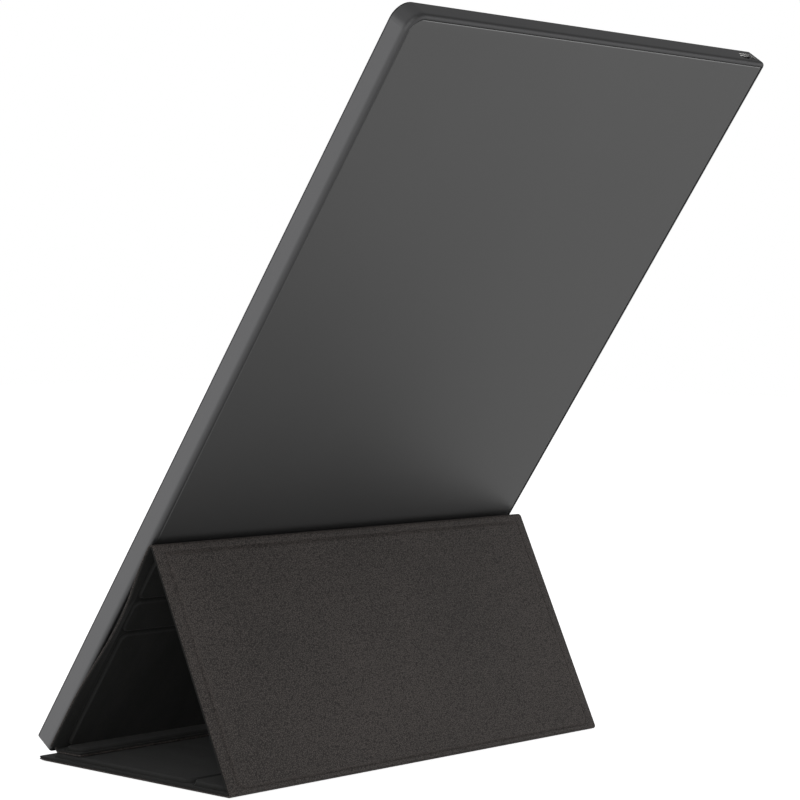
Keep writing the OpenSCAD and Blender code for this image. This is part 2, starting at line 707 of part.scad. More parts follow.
module base_skin() color(leather_brown) at_base()
    leather(half_cover, -base_len, -fold_gap, panel_t, 0, [], sheet_corner_r);
module base_lining() color(lining_grey) at_base()
    inner_sheet(half_cover, -base_len, -fold_gap, panel_t, 0, base_boards, sheet_corner_r);
module base_board() color(stiff_grey) at_base() difference() {
    stiffener(base_boards[0], stiff_t);
    catch_shape(fit_gap);
}
module base_strip_board() color(stiff_grey) at_base() stiffener(base_boards[1], stiff_t);
module catch_strip() color(steel) at_base() catch_shape(0);
module catch_shape(gap) {
    half_len = ((magnets - 1) * magnet_pitch + magnet_len) / 2 + 2;
    mid = -fold_span + flap_magnet_s;
    box([-half_len - gap, mid - flap_magnet_w - gap, -lining_t - steel_t - gap / 2],
        [half_len + gap, mid + flap_magnet_w + gap, -lining_t + (gap > 0 ? over : 0)]);
}

module back_skin() color(leather_brown) at_back()
    leather(half_cover, -back_reach, back_len - fold_gap, panel_t, proud, back_boards);
module back_lining() color(lining_grey) at_back()
    inner_sheet(half_cover, -back_reach, back_len - fold_gap, panel_t, proud, back_boards);
module back_board() color(stiff_grey) at_back() stiffener(back_boards[0], stiff_t);

module support_skin() color(leather_brown) at_support()
    leather(half_cover, fold_gap, support_len + foot_reach, panel_t, proud, support_boards);
module support_lining() color(lining_grey) at_support()
    inner_sheet(half_cover, fold_gap, support_len + foot_reach, panel_t, proud, support_boards);
module support_upper_board() color(stiff_grey) at_support() difference() {
    stiffener(support_boards[0], stiff_t);
    bars(magnet_s, magnet_w, fit_gap, 0, panel_t);
}
module support_middle_board() color(stiff_grey) at_support() stiffener(support_boards[1], stiff_t);
module support_main_board() color(stiff_grey) at_support() stiffener(support_boards[2], stiff_t);
module support_magnets() color(steel) at_support()
    bars(magnet_s, magnet_w, 0, lining_t, lining_t + stiff_t);

// Row of magnet bars, or of the openings for them
module bars(y, width, gap, n0, n1)
    for (i = [0 : magnets - 1]) {
        x = (i - (magnets - 1) / 2) * magnet_pitch;
        box([x - magnet_len / 2 - gap, y - width / 2 - gap, -n1],
            [x + magnet_len / 2 + gap, y + width / 2 + gap, -n0]);
    }

module flap_skin() color(leather_brown) at_flap()
    leather(flap_half, -foot_reach, flap_len, flap_t, 0, [], 0, 1);
module flap_lining() color(lining_grey) at_flap()
    inner_sheet(flap_half, -foot_reach, flap_len, flap_t, 0, flap_boards, 0, 1);
module flap_board() color(stiff_grey) at_flap() difference() {
    stiffener(flap_boards[0], flap_stiff_t);
    bars(flap_magnet_s, flap_magnet_w, fit_gap, 0, panel_t);
}
module flap_magnets() color(steel) at_flap()
    bars(flap_magnet_s, flap_magnet_w, 0, lining_t, lining_t + flap_stiff_t);

// ---------------------------------------------------------------- folds

// Where two outer lines of a fold meet, and the rounded path between them
function meet(p, a, q, b) =
    let (d = ray(a), e = ray(b), t = ((q - p)[0] * e[1] - (q - p)[1] * e[0]) / (d[0] * e[1] - d[1] * e[0]))
    p + t * d;

// Side of a fold: from reach0 before the axis on a sheet that runs along angle a, to reach1
// after it along angle b, at depths n0 and n1, rounded by r where the two lines meet
function fold_side(axis, a, b, reach0, reach1, n0, n1, r) =
    let (start = axis - reach0 * ray(a) + n0 * ray(a - 90),
         end = axis + reach1 * ray(b) + n1 * ray(b - 90),
         corner = meet(start, a, end, b),
         along = r * tan((b - a) / 2),
         centre = corner - along * ray(a) - r * ray(a - 90))
    concat([start], arc(centre, r, a - 90, b - 90, 12), [end]);

function reversed(list) = [for (i = [len(list) - 1 : -1 : 0]) list[i]];

// Strip of leather and lining round a fold, between the borders of two panels
module fold_strip(axis, a, b, reach0, reach1, n0, n1, r, width)
    along_x(width) polygon(concat(
        fold_side(axis, a, b, reach0, reach1, n0, n1, r),
        reversed(fold_side(axis, a, b, reach0, reach1,
                           n0 - skin_t - lining_t, n1 - skin_t - lining_t, crease_r))));

module rear_fold_leather() color(leather_brown)
    fold_strip([rear_y, rear_z], base_dir, back_dir, fold_gap, -back_reach - seam_gap,
               panel_t, panel_t - proud, rear_fold_r, cover_w);
module ridge_fold_leather() color(leather_brown)
    fold_strip([ridge_y, ridge_z], back_dir, support_dir, fold_gap, fold_gap - seam_gap,
               panel_t - proud, panel_t - proud, fold_r, cover_w);
module foot_fold_leather() color(leather_brown)
    fold_strip([foot_y, foot_z], support_dir, flap_dir, -foot_reach, -foot_reach - seam_gap,
               panel_t - proud, flap_t, fold_r, 2 * flap_half);

back_plate();
side_band();
hold_plates();
inner_frame();
main_board();
board_chips();
shield_can();
usb_c_receptacle();
usb_c_tongue();
usb_c_contacts();
side_switches();
power_button();
menu_button();
status_light_pipe();
board_screws();
backlight_tray();
reflector_sheet();
light_guide();
led_strip();
diffuser_films();
lcd_glass();
driver_board();
display_cable();
frame_screws();
front_bezel();
base_skin();
base_board();
base_strip_board();
base_lining();
catch_strip();
rear_fold_leather();
back_skin();
back_board();
back_lining();
ridge_fold_leather();
support_skin();
support_upper_board();
support_middle_board();
support_main_board();
support_lining();
support_magnets();
foot_fold_leather();
flap_skin();
flap_board();
flap_lining();
flap_magnets();
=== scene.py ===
"""Portable monitor standing in portrait on its folded cover: its finishes and its soft cover.

Lengths are in millimetres until a mesh is made, and the studio's are in metres. The cover's
sheets and folds and the monitor's back plate are surfaces worked out with numpy, in the frames
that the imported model's joints and nodes give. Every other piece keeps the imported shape.
"""
import json
import math

import bmesh
import bpy
import numpy as np
from mathutils import Matrix, Vector


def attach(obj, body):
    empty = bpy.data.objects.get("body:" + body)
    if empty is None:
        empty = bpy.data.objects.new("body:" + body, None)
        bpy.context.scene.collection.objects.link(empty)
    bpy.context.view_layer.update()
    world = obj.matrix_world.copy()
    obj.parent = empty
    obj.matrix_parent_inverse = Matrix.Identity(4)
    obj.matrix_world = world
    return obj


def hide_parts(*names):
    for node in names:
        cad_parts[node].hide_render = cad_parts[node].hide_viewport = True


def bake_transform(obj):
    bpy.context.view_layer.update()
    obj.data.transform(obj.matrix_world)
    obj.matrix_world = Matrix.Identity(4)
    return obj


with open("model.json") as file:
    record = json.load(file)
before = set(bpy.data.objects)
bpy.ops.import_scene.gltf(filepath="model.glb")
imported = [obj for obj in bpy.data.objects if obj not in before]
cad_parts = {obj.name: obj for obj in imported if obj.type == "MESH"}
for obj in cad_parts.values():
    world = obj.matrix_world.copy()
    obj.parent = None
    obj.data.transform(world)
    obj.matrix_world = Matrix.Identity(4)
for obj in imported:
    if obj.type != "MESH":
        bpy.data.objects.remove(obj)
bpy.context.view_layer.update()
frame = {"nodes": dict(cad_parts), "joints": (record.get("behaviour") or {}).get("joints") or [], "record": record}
MM = 0.001
PER_METRE = 1000.0

# Meshes
SHARP = 35  # edges that turn by less than this many degrees are shaded smooth
SAME_POINT = 0.004  # points closer than this are one point
ARC_STEPS = 14  # steps round a fold's corner, and round each corner of the monitor's outline
EDGE_LINES = 6  # extra grid lines where a sheet's edge curves in
BAND_EDGE = 9  # points round a band's long edge
PLATE_LOOPS = 5  # loops round the back plate's eased edge
GRID_STEPS = (4.0, 6.0)  # widest step of a sheet's grid, along it and across it
LEAST_STEP = 0.02  # grid lines closer than this are one line
# Extra grid lines at a raised field's edge, counted outwards from it
NEAR_EDGE = np.array([-3.4, -2.6, -1.8, -1.2, -0.8, -0.5, -0.2, 0, 0.25, 0.5, 0.75, 1, 1.2, 1.45,
                      1.7, 2.1])

# Cover: its two sheets, and the fields raised over its boards
SKIN = 0.8
LINING = 0.8
LEATHER_RISE = 0.6  # the fields stand this far out, in the leather and in each lining
LINING_RISE = {"base_lining": 1.8, "back_lining": 1.2, "support_lining": 1.2, "flap_lining": 1.2}
# Depth of each panel's leather, at its own ends, where the folds join it
EDGE_LEVEL = {"base_skin": 3.4, "back_skin": 2.8, "support_skin": 2.8, "flap_skin": 2.8}
BOARD_INSET = 0.3  # a board lies this far inside its raised field
FIELD_RADIUS = 3.0
BEVEL = 1.0
CREST = (0.2, 0.35)  # place and half width of the painted highlight along a raised edge's crest, in bevels
GROOVE_DEPTH = 0.2
GROOVE_WIDTH = 0.5
FLAT = 0.02  # the groove is pressed only where the field has fallen below this
RIDGE_EASE = 2.4  # over this length before the ridge the leather is pared down to the fold
BOW = (3.3, 0, 34, 84)  # how far the support's side edge stands off; where it starts, peaks, ends
BOW_EDGE = (109.4, 115.5)  # across the support, the bow grows between these
SHEET_RADIUS = 2.0
FLAP_RADIUS = 1.0
SQUARE = 0.001  # radius of a corner that is left square
OPEN_END = 50.0  # an end that isn't free counts as lying this much further off

# Folds: the leather's outer radius at each, and the radii of the faces further in
REAR_RADIUS = 1.2
RIDGE_RADIUS = 2.0
FOOT_RADIUS = 2.0
LEAST_MIDDLE = 0.3  # the face between leather and lining is never tighter than this
LINING_RADIUS = 0.12  # the lining's own face
BAND_LINES = 22  # lines of points along a fold's section
BAND_STEP = 5.0  # widest step across the object

# Monitor: its upper corner away from the port is rounder than the others
CORNER = 7.5
TIGHT_CORNER = 2.0
LEAST_CORNER = 0.4  # what is left of a corner that is drawn in
RIM = 1.7  # width of the shell's edge round the back plate
PLATE_GAP = 0.3
PLATE_T = 0.8
PLATE_EASE = 0.5  # radius of the plate's rounded edge
SCREEN = ((-88.9, 7.75), (104.7, 351.95))  # lower left and upper right corner of the picture area
LED_COUNT = 40

# Paint: tones are shares of the paint's own
PAINT_METAL = 0.85
TOP_HIGHLIGHT = 2.2  # painted highlight along the plate's upper edge, as a share of the paint's tone
TOP_HIGHLIGHT_START = 0.1  # the painted highlight is full this far below the plate's top
GROOVE_SHADE = 0.35  # painted shade on the plate's rim, down in the groove
GROOVE_SHADE_START = 0.2  # depth at which the painted shade on the rim begins
PORT_RING = 0.62  # bright cut with a painted rim highlight, this far out from the port's shell
PORT_RIM = 0.3  # and this far down into the recess
# colour of the cut round the port: bare metal, with a painted highlight on its rim
CUT_AND_RIM_HIGHLIGHT = (0.9, 0.89, 0.85)

# Camera: place, heading, pitch and roll in degrees, and lens and sensor in millimetres
CAMERA_PLACE = (0.77703, 0.75246, 0.19138)
CAMERA_TURN = (-137.603, -2.08, 0.57)
LENS = 110.54
SENSOR = 36

# Studio: strengths are 1 where they show as white
FLOOR_SIDE = 4.0  # half of the floor's width
FLOOR_DROP = 0.0003  # the floor lies this far below the object's feet
FLOOR_TINT = 0.6  # the floor's colour where it is seen, and where it only sends light on
FLOOR_BOUNCE = 0.35
FLOOR_GLOW = 0.85  # its own glow where it is seen
# painted shadow of the stand in the floor's glow, seen only in reflections and through glass
SHADE_PLACE = (-0.03, 0.1, 0)  # the floor glows less about here, behind the stand
SHADE = (0.06, 0.21, 0.45)  # out to the first distance by this share, and not past the second
SURROUND = 0.5  # strength of the surroundings' light on dull surfaces
SKY_FADE = (0.15, 0.5)  # in gloss, white up to the first height and SKY_TOP above the second
SKY_TOP = 0.3
AIM = (0, 0.03, 0.15)  # where the lamps point
STUDIO_LAMPS = (  # place, size and power
    ("key_lamp", (1.6, 1.2, 1.8), 1.4, 8.0),
    ("side_lamp", (1.0, 0.8, 0.2), 0.35, 2.4),
    ("rear_lamp", (-0.6, 0.7, 0.3), 0.5, 1.5),
    ("front_lamp", (2.2, -0.9, 0.6), 1.4, 1.4),
)


# ------------------------------------------------------------------ frames of the pieces

def measure(node, direction):
    """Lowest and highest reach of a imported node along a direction, in millimetres."""
    mesh = frame["nodes"][node].data
    points = np.empty(len(mesh.vertices) * 3, np.float32)
    mesh.vertices.foreach_get("co", points)
    reach = points.reshape(-1, 3) @ np.array(direction, float)
    return float(reach.min()) / MM, float(reach.max()) / MM


def joint_axis(name):
    """Place (y, z) of a fold's axis, in millimetres."""
    joint = next(j for j in frame["joints"] if j["name"] == name)
    return np.array(joint["pos_m"][1:]) / MM


class Frame:
    """A flat frame across the object: x across, s along the sheet, n out of it, in millimetres."""

    def __init__(self, origin, angle):
        turn = math.radians(angle)
        self.angle = angle
        self.origin = np.array(origin, float)
        self.along = np.array([math.cos(turn), math.sin(turn)])
        self.out = np.array([math.sin(turn), -math.cos(turn)])

    def place(self, x, s, n):
        """Points x, origin + s along + n out, in the shape of the arrays given."""
        x, s, n = np.broadcast_arrays(x, s, n)
        yz = self.origin + s[..., None] * self.along + n[..., None] * self.out
        return np.concatenate([x[..., None], yz], axis=-1)

    def span(self, node):
        """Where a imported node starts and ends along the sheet."""
        low, high = measure(node, (0, *self.along))
        start = float(self.origin @ self.along)
        return low - start, high - start

    def depth(self, node):
        """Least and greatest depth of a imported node."""
        low, high = measure(node, (0, *self.out))
        start = float(self.origin @ self.out)
        return low - start, high - start


def sheet_angle(start, end):
    """Angle of the line from one fold's axis to the next, in degrees."""
    return math.degrees(math.atan2(end[1] - start[1], end[0] - start[0])) % 360


REAR, RIDGE, FOOT = (joint_axis(n) for n in ("rear_fold", "ridge_fold", "foot_fold"))
BASE = Frame(REAR, 0)
BACK = Frame(REAR, sheet_angle(REAR, RIDGE))
SUPPORT = Frame(RIDGE, sheet_angle(RIDGE, FOOT))
FLAP = Frame(FOOT, 360)
MON = Frame((0, 0), SUPPORT.angle - 180)
MON.out = -MON.out  # the monitor's depth runs from its back towards the screen
MON.origin = (measure("side_band", (0, *MON.along))[0] * MON.along
              + measure("side_band", (0, *MON.out))[0] * MON.out)
HALF_W = measure("side_band", (1, 0, 0))[1]
HEIGHT = MON.span("side_band")[1]
COVER_HALF = measure("base_skin", (1, 0, 0))[1]
FLAP_HALF = measure("flap_skin", (1, 0, 0))[1]
LED_START, LED_END = MON.span("led_strip")
LED_PITCH = (LED_END - LED_START) / LED_COUNT


# ------------------------------------------------------------------ meshes

def mesh_object(name, material, points, faces, pressed=None):
    """Closed piece from points in millimetres and lists of point numbers, its faces outwards.

    The values in pressed go to the points as painted light: 1 for painted shade in a
    pressed line, -1 for a painted highlight along a raised edge.
    """
    mesh = bpy.data.meshes.new(name)
    mesh.from_pydata((np.asarray(points, float) * MM).tolist(), [], [list(f) for f in faces])
    mesh.validate()
    mesh.materials.append(material)
    if pressed is not None:
        mesh.attributes.new("pressed", "FLOAT", "POINT").data.foreach_set("value", pressed)
    shell = bmesh.new()
    shell.from_mesh(mesh)
    bmesh.ops.recalc_face_normals(shell, faces=shell.faces)
    shell.to_mesh(mesh)
    shell.free()
    mesh.shade_smooth()
    mesh.set_sharp_from_angle(angle=math.radians(SHARP))
    obj = bpy.data.objects.new(name, mesh)
    bpy.context.scene.collection.objects.link(obj)
    return obj


def quads(rows, cols, first=0, close_cols=False):
    """Faces of a grid of points, numbered row by row, whose rows run round in a ring if asked."""
    row = first + np.arange(rows - 1)[:, None] * cols
    col = np.arange(cols if close_cols else cols - 1)[None, :]
    after = (col + 1) % cols
    return np.stack([row + col, row + after, row + cols + after, row + cols + col],
                    -1).reshape(-1, 4)


def weld(points, faces, values=None):
    """Joins points that share a place, and drops faces that this leaves with no area."""
    keys = np.round(np.asarray(points) / SAME_POINT).astype(np.int64)
    _, first, inverse = np.unique(keys, axis=0, return_index=True, return_inverse=True)
    inverse = inverse.reshape(-1)
    joined = []
    for face in faces:
        ring = [int(inverse[i]) for i in face]
        ring = [p for k, p in enumerate(ring) if p != ring[k - 1]]
        if len(set(ring)) == len(ring) and len(ring) > 2:
            joined.append(ring)
    if values is not None:
        values = values[first].astype(np.float32)
    return points[first], joined, values


# ------------------------------------------------------------------ sheets of the cover

def rounded_rect_distance(x, s, half_w, s0, s1, radius):
    """Distance from a rounded rectangle's outline, negative inside it."""
    dx = np.abs(x) - half_w + radius
    ds = np.abs(s - (s0 + s1) / 2) - (s1 - s0) / 2 + radius
    outside = np.hypot(np.maximum(dx, 0), np.maximum(ds, 0))
    return outside + np.minimum(np.maximum(dx, ds), 0) - radius


def smooth(t):
    """Rises smoothly from 0 at t = 0 to 1 at t = 1."""
    t = np.clip(t, 0, 1)
    return t * t * (3 - 2 * t)


def grid_lines(low, high, marks, step, edge):
    """Positions from low to high: even steps, closer together at both ends and at each mark."""
    turn = 1 - np.cos(np.linspace(0, math.pi / 2, EDGE_LINES))
    lines = [np.linspace(low, high, max(2, int((high - low) / step) + 1)),
             low + edge * turn, high - edge * turn]
    lines += [mark + side * NEAR_EDGE for mark, side in marks]
    lines = np.unique(np.round(np.clip(np.concatenate(lines), low, high), 3))
    keep = np.concatenate([[True], np.diff(lines) > LEAST_STEP])
    keep[-1] = True
    return lines[keep]


def raised_sheet(name, sheet, half_w, s0, s1, level, thick, side, rise, fields, material,
                 free0=False, free1=False, radius0=0.0, radius1=0.0, ease1=0.0, bow=None):
    """Closed sheet with a flat field raised over each board.

    Its visible face lies at depth level + side * (rise * field - groove), where field falls from 1
    on a board to 0 over a bevel outside it, and groove is a pressed line at the bevel's foot.
    Towards a free edge both faces close on the sheet's middle along a half circle. An end that
    isn't free is cut square, flush with the fold that carries on from it. The face towards the
    boards is hollow over them by the same rise. A field is (half width, start, end).
    """
    edge = thick / 2
    marks_x = [(sign * half, sign) for half, _, _ in fields for sign in (-1, 1)]
    marks_s = [(start, -1) for _, start, _ in fields] + [(end, 1) for _, _, end in fields]
    step_s, step_x = GRID_STEPS
    s = grid_lines(s0, s1, marks_s, step_s, edge)
    u = grid_lines(-half_w, half_w, marks_x, step_x, edge) / half_w
    narrow = np.zeros_like(s)
    for radius, gap in ((radius0, s - s0), (radius1, s1 - s)):
        if radius > 0:
            turn = np.clip(radius - gap, 0, radius)
            narrow = np.maximum(narrow, radius - np.sqrt(radius ** 2 - turn ** 2))
    x = u[None, :] * (half_w - narrow)[:, None]
    s = np.repeat(s[:, None], len(u), axis=1)

    low = s0 if free0 else s0 - OPEN_END
    high = s1 if free1 else s1 + OPEN_END
    inside = -rounded_rect_distance(x, s, half_w, low, high, max(radius0, radius1, SQUARE))
    bulge = np.sqrt(np.clip(1 - (1 - np.clip(inside / edge, 0, 1)) ** 2, 0, 1))
    relief, hollow, pressed = np.zeros_like(x), np.zeros_like(x), np.zeros_like(x)
    pared = smooth((s - s1 + ease1) / ease1) if ease1 else 0
    crest, spread = (part * BEVEL for part in CREST)
    for half, start, end in fields:
        gap = rounded_rect_distance(x, s, half, start, end + 2 * ease1, FIELD_RADIUS)
        over_board = rounded_rect_distance(x, s, half, start, end, FIELD_RADIUS)
        hollow = np.maximum(hollow, 1 - smooth(1 + over_board / BOARD_INSET))
        foot = (gap - BEVEL - GROOVE_WIDTH / 2) / GROOVE_WIDTH
        relief = np.maximum(relief, rise * (1 - pared) * (1 - smooth(gap / BEVEL)))
        line = np.exp(-4 * foot ** 2)
        relief = relief - np.where(relief < FLAT, GROOVE_DEPTH * line, 0)
        # painted shade along the groove's line, less a painted highlight along the raised edge's crest
        pressed += line - np.exp(-((gap - crest) / spread) ** 2)
    relief *= smooth(inside / (2 * edge))
    middle = level - side * edge
    if bow:
        middle = middle - bow(x, s)
    top = sheet.place(x, s, middle + side * (edge * bulge + relief))
    under = sheet.place(x, s, middle + side * (rise * hollow - edge * bulge))
    rows, cols = x.shape
    points = np.concatenate([top.reshape(-1, 3), under.reshape(-1, 3)])
    count = rows * cols
    faces = [*quads(rows, cols), *quads(rows, cols, first=count)[:, ::-1]]
    rims = [(row + np.arange(cols - 1), 1) for row in (0, (rows - 1) * cols)]
    rims += [(col + np.arange(rows - 1) * cols, cols) for col in (0, cols - 1)]
    for rim, step in rims:
        faces += [*np.stack([rim, rim + step, rim + step + count, rim + count], -1)]
    values = np.concatenate([pressed.ravel(), np.zeros(count)])
    return mesh_object(name, material, *weld(points, faces, values))


def bend_path(axis, turn_in, turn_out, reach_in, reach_out, n_in, n_out, radius):
    """Line round a fold: along one sheet at depth n_in, a rounded corner, along the next at n_out.

    Both lines are sheets' faces as seen end on. The corner is an arc that touches both of them.
    """
    a, b = Frame(axis, turn_in), Frame(axis, turn_out)
    start = a.origin - reach_in * a.along + n_in * a.out
    end = b.origin + reach_out * b.along + n_out * b.out
    reach = np.linalg.solve(np.stack([a.along, -b.along], 1), end - start)
    corner = start + reach[0] * a.along
    half_turn = math.radians((turn_out - turn_in) / 2)
    tangent = radius * math.tan(half_turn)
    centre = corner - tangent * a.along - radius * a.out
    angles = np.radians(np.linspace(turn_in - 90, turn_out - 90, ARC_STEPS + 1))
    arc = centre + radius * np.stack([np.cos(angles), np.sin(angles)], -1)
    return np.concatenate([[start], arc, [end]])


def resample(path, count):
    """The same number of points along any line, evenly spaced by its length."""
    run = np.concatenate([[0], np.cumsum(np.linalg.norm(np.diff(path, axis=0), axis=1))])
    at = np.linspace(0, run[-1], count)
    return np.stack([np.interp(at, run, path[:, k]) for k in (0, 1)], -1)


def fold_band(name, outer, inner, half_w, material):
    """Band of one sheet round a fold, between an outer and an inner line seen end on.

    Across the object its section is a slot shape: the two faces close on the band's middle line
    along a half circle at both long edges.
    """
    outer, inner = resample(outer, BAND_LINES), resample(inner, BAND_LINES)
    middle, half = (outer + inner) / 2, (outer - inner) / 2
    edge = float(np.linalg.norm(half, axis=1).mean())
    turn = np.linspace(0, math.pi, BAND_EDGE)
    flat = np.linspace(half_w - edge, edge - half_w, int(2 * half_w / BAND_STEP))
    x = np.concatenate([half_w - edge + edge * np.sin(turn), flat[1:-1],
                        edge - half_w - edge * np.sin(turn), flat[::-1][1:-1]])
    height = np.concatenate([np.cos(turn), -np.ones(len(flat) - 2), -np.cos(turn),
                             np.ones(len(flat) - 2)])
    yz = middle[:, None, :] + height[None, :, None] * half[:, None, :]
    points = np.concatenate([np.broadcast_to(x[None, :, None], yz.shape[:2] + (1,)), yz], -1)
    rows, cols = points.shape[:2]
    faces = [*quads(rows, cols, close_cols=True), np.arange(cols)[::-1],
             (rows - 1) * cols + np.arange(cols)]
    band = mesh_object(name, material, points.reshape(-1, 3), faces)
    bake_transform(band)
    return band


# ------------------------------------------------------------------ back plate of the monitor

def shell_outline(inset):
    """The monitor's outline drawn in by a distance, as points (x, v) counter-clockwise.

    Each corner is a quarter circle about its own centre, and straight sides join the arcs.
    """
    turn = np.linspace(0, math.pi / 2, ARC_STEPS + 1)
    loop = []
    for k, (across, up) in enumerate(((1, 1), (-1, 1), (-1, -1), (1, -1))):
        radius = max((CORNER if k == 0 else TIGHT_CORNER) - inset, LEAST_CORNER)
        angle = turn + k * math.pi / 2
        centre_x = across * (HALF_W - inset - radius)
        centre_v = HEIGHT / 2 + up * (HEIGHT / 2 - inset - radius)
        loop.append(np.stack([centre_x + radius * np.cos(angle),
                              centre_v + radius * np.sin(angle)], -1))
    return np.concatenate(loop)


def loft(name, loops, place, material):
    """Closed skin through loops of equal point counts: each is (points (x, v), depth w)."""
    points = np.stack([place(loop[:, 0], loop[:, 1], depth) for loop, depth in loops])
    rows, cols = points.shape[:2]
    faces = [*quads(rows, cols, close_cols=True), np.arange(cols)[::-1],
             (rows - 1) * cols + np.arange(cols)]
    return mesh_object(name, material, *weld(points.reshape(-1, 3), faces))


# ------------------------------------------------------------------ shader maths

class Num:
    """A socket whose value is worked on with +, - and *, each adding its Math node."""

    def __init__(self, tree, socket):
        self.tree, self.socket = tree, socket

    def math(self, operation, *others, flipped=False):
        """Adds a Math node on this value and others, in this order or the other way round."""
        values = (self, *others)[::-1 if flipped else 1]
        return self.tree.node("ShaderNodeMath", {"operation": operation}, dict(enumerate(values)))

    def __add__(self, other): return self.math("ADD", other)
    def __radd__(self, other): return self.math("ADD", other, flipped=True)
    def __sub__(self, other): return self.math("SUBTRACT", other)
    def __rsub__(self, other): return self.math("SUBTRACT", other, flipped=True)
    def __mul__(self, other): return self.math("MULTIPLY", other)
    def __rmul__(self, other): return self.math("MULTIPLY", other, flipped=True)
    def above(self, other): return self.math("GREATER_THAN", other)
    def below(self, other): return self.math("LESS_THAN", other)
    def larger(self, other): return self.math("MAXIMUM", other)
    def smaller(self, other): return self.math("MINIMUM", other)
    def size(self): return self.math("ABSOLUTE")

    def wrapped(self, pitch):
        """What is left over after whole pitches, from 0 up to the pitch, below 0 as well."""
        return self.math("MODULO", pitch).math("ADD", pitch).math("MODULO", pitch)

    def ramp(self, low, high, out_low=0.0, out_high=1.0):
        """Goes from out_low at low to out_high at high, smoothly, and stays there."""
        return self.tree.node("ShaderNodeMapRange", {"interpolation_type": "SMOOTHSTEP"},
                              {"Value": self, "From Min": low, "From Max": high,
                               "To Min": out_low, "To Max": out_high})


def set_stops(ramp, stops):
    """Gives a colour ramp its (place, colour) stops."""
    while len(ramp.elements) < len(stops):
        ramp.elements.new(0.5)
    for element, (place, color) in zip(ramp.elements, stops):
        element.position = place
        element.color = (*color, 1)


class Nodes:
    """The nodes of a material or of the world."""

    def __init__(self, owner):
        owner.use_nodes = True
        self.nodes = owner.node_tree.nodes
        self.links = owner.node_tree.links

    def put(self, socket, value):
        """Links a socket to a Num, or sets it to a plain value."""
        if isinstance(value, Num):
            self.links.new(value.socket, socket)
        else:
            socket.default_value = value

    def node(self, kind, settings=None, sockets=None, out=0):
        """Any node: its settings first, then its sockets by name or number. Gives one output."""
        node = self.nodes.new(kind)
        for key, value in (settings or {}).items():
            if key == "stops":
                set_stops(node.color_ramp, value)
            else:
                setattr(node, key, value)
        for key, value in (sockets or {}).items():
            self.put(node.inputs[key], value)
        return Num(self, node.outputs[out])

    def place(self):
        """Object coordinates."""
        return self.node("ShaderNodeTexCoord", out="Object")

    def ray(self, kind):
        """1 for rays of one kind, else 0."""
        return self.node("ShaderNodeLightPath", out=f"Is {kind} Ray")

    def parts(self, vector):
        """x, y and z of a vector."""
        first = self.node("ShaderNodeSeparateXYZ", {}, {0: vector})
        return [Num(self, out) for out in first.socket.node.outputs]

    def mix(self, factor, first, second):
        """Mixes two colours, which are the node's sockets 6 and 7, with output 2."""
        first, second = ((*c, 1) if isinstance(c, tuple) else c for c in (first, second))
        return self.node("ShaderNodeMix", {"data_type": "RGBA"}, {0: factor, 6: first, 7: second},
                         out=2)


class Shader(Nodes):
    """A material's nodes: one Principled shader, with its constants set on its own sockets."""

    def __init__(self, name, color, roughness, **constants):
        self.material = bpy.data.materials.new(name)
        super().__init__(self.material)
        self.set(base_color=(*color, 1), roughness=roughness, **constants)
        self.material.diffuse_color = (*color, 1)

    def set(self, **sockets):
        """Sets or links the Principled shader's sockets, named with underscores."""
        for key, value in sockets.items():
            name = key.replace("_", " ").title().replace("Ior", "IOR")
            self.put(self.nodes["Principled BSDF"].inputs[name], value)
        return self

    def stops(self, value, *stops):
        """Colour that runs through the given (place, colour) stops."""
        return self.node("ShaderNodeValToRGB", {"stops": stops}, {0: value})

    def scaled(self, vector, factors):
        """A vector with each part scaled by its own factor."""
        return self.node("ShaderNodeVectorMath", {"operation": "MULTIPLY"},
                         {0: vector, 1: factors})

    def along(self, vector, axis, start=0.0):
        """Distance of a point along an axis, in millimetres."""
        dot = self.node("ShaderNodeVectorMath", {"operation": "DOT_PRODUCT"},
                        {0: vector, 1: tuple(float(a) / MM for a in axis)}, out="Value")
        return dot - float(start)

    def up(self, place):
        """Distance of a point up the monitor, from its lower edge."""
        return self.along(place, (0, *MON.along), MON.origin @ MON.along)

    def depth(self, place):
        """Distance of a point into the monitor, from its back."""
        return self.along(place, (0, *MON.out), MON.origin @ MON.out)

    def noise(self, vector, size, detail=2.0, rough=0.5, out=0):
        """Soft noise whose lumps are about size millimetres across."""
        return self.node("ShaderNodeTexNoise", {}, {
            "Vector": vector, "Scale": PER_METRE / size, "Detail": detail, "Roughness": rough}, out)

    def cells(self, vector, size, feature="F1", randomness=1.0, out="Distance"):
        """Cells about size millimetres across."""
        return self.node("ShaderNodeTexVoronoi", {"feature": feature}, {
            "Vector": vector, "Scale": PER_METRE / size, "Randomness": randomness}, out)

    def bump(self, height, depth):
        """Bump whose full height is depth millimetres."""
        return self.node("ShaderNodeBump", {}, {"Height": height, "Distance": depth * MM})


def srgb(*levels):
    """Linear colour from 0-255 display levels."""
    if len(levels) == 1:
        levels = levels * 3
    return tuple(c / 12.92 if c <= 0.04045 else ((c + 0.055) / 1.055) ** 2.4
                 for c in (level / 255 for level in levels))


def toned(color, share):
    """A colour made darker or lighter by a share of itself."""
    return tuple(c * share for c in color)


# ------------------------------------------------------------------ finishes of the cover

def shade_and_highlight_tone(m, color, dark, light):
    """A colour with painted shade in pressed lines and a painted highlight along raised edges."""
    pressed = m.node("ShaderNodeAttribute", {"attribute_name": "pressed"}, out="Fac")
    return m.mix((pressed * -0.4).larger(0), m.mix((pressed * 0.5).larger(0), color, dark), light)


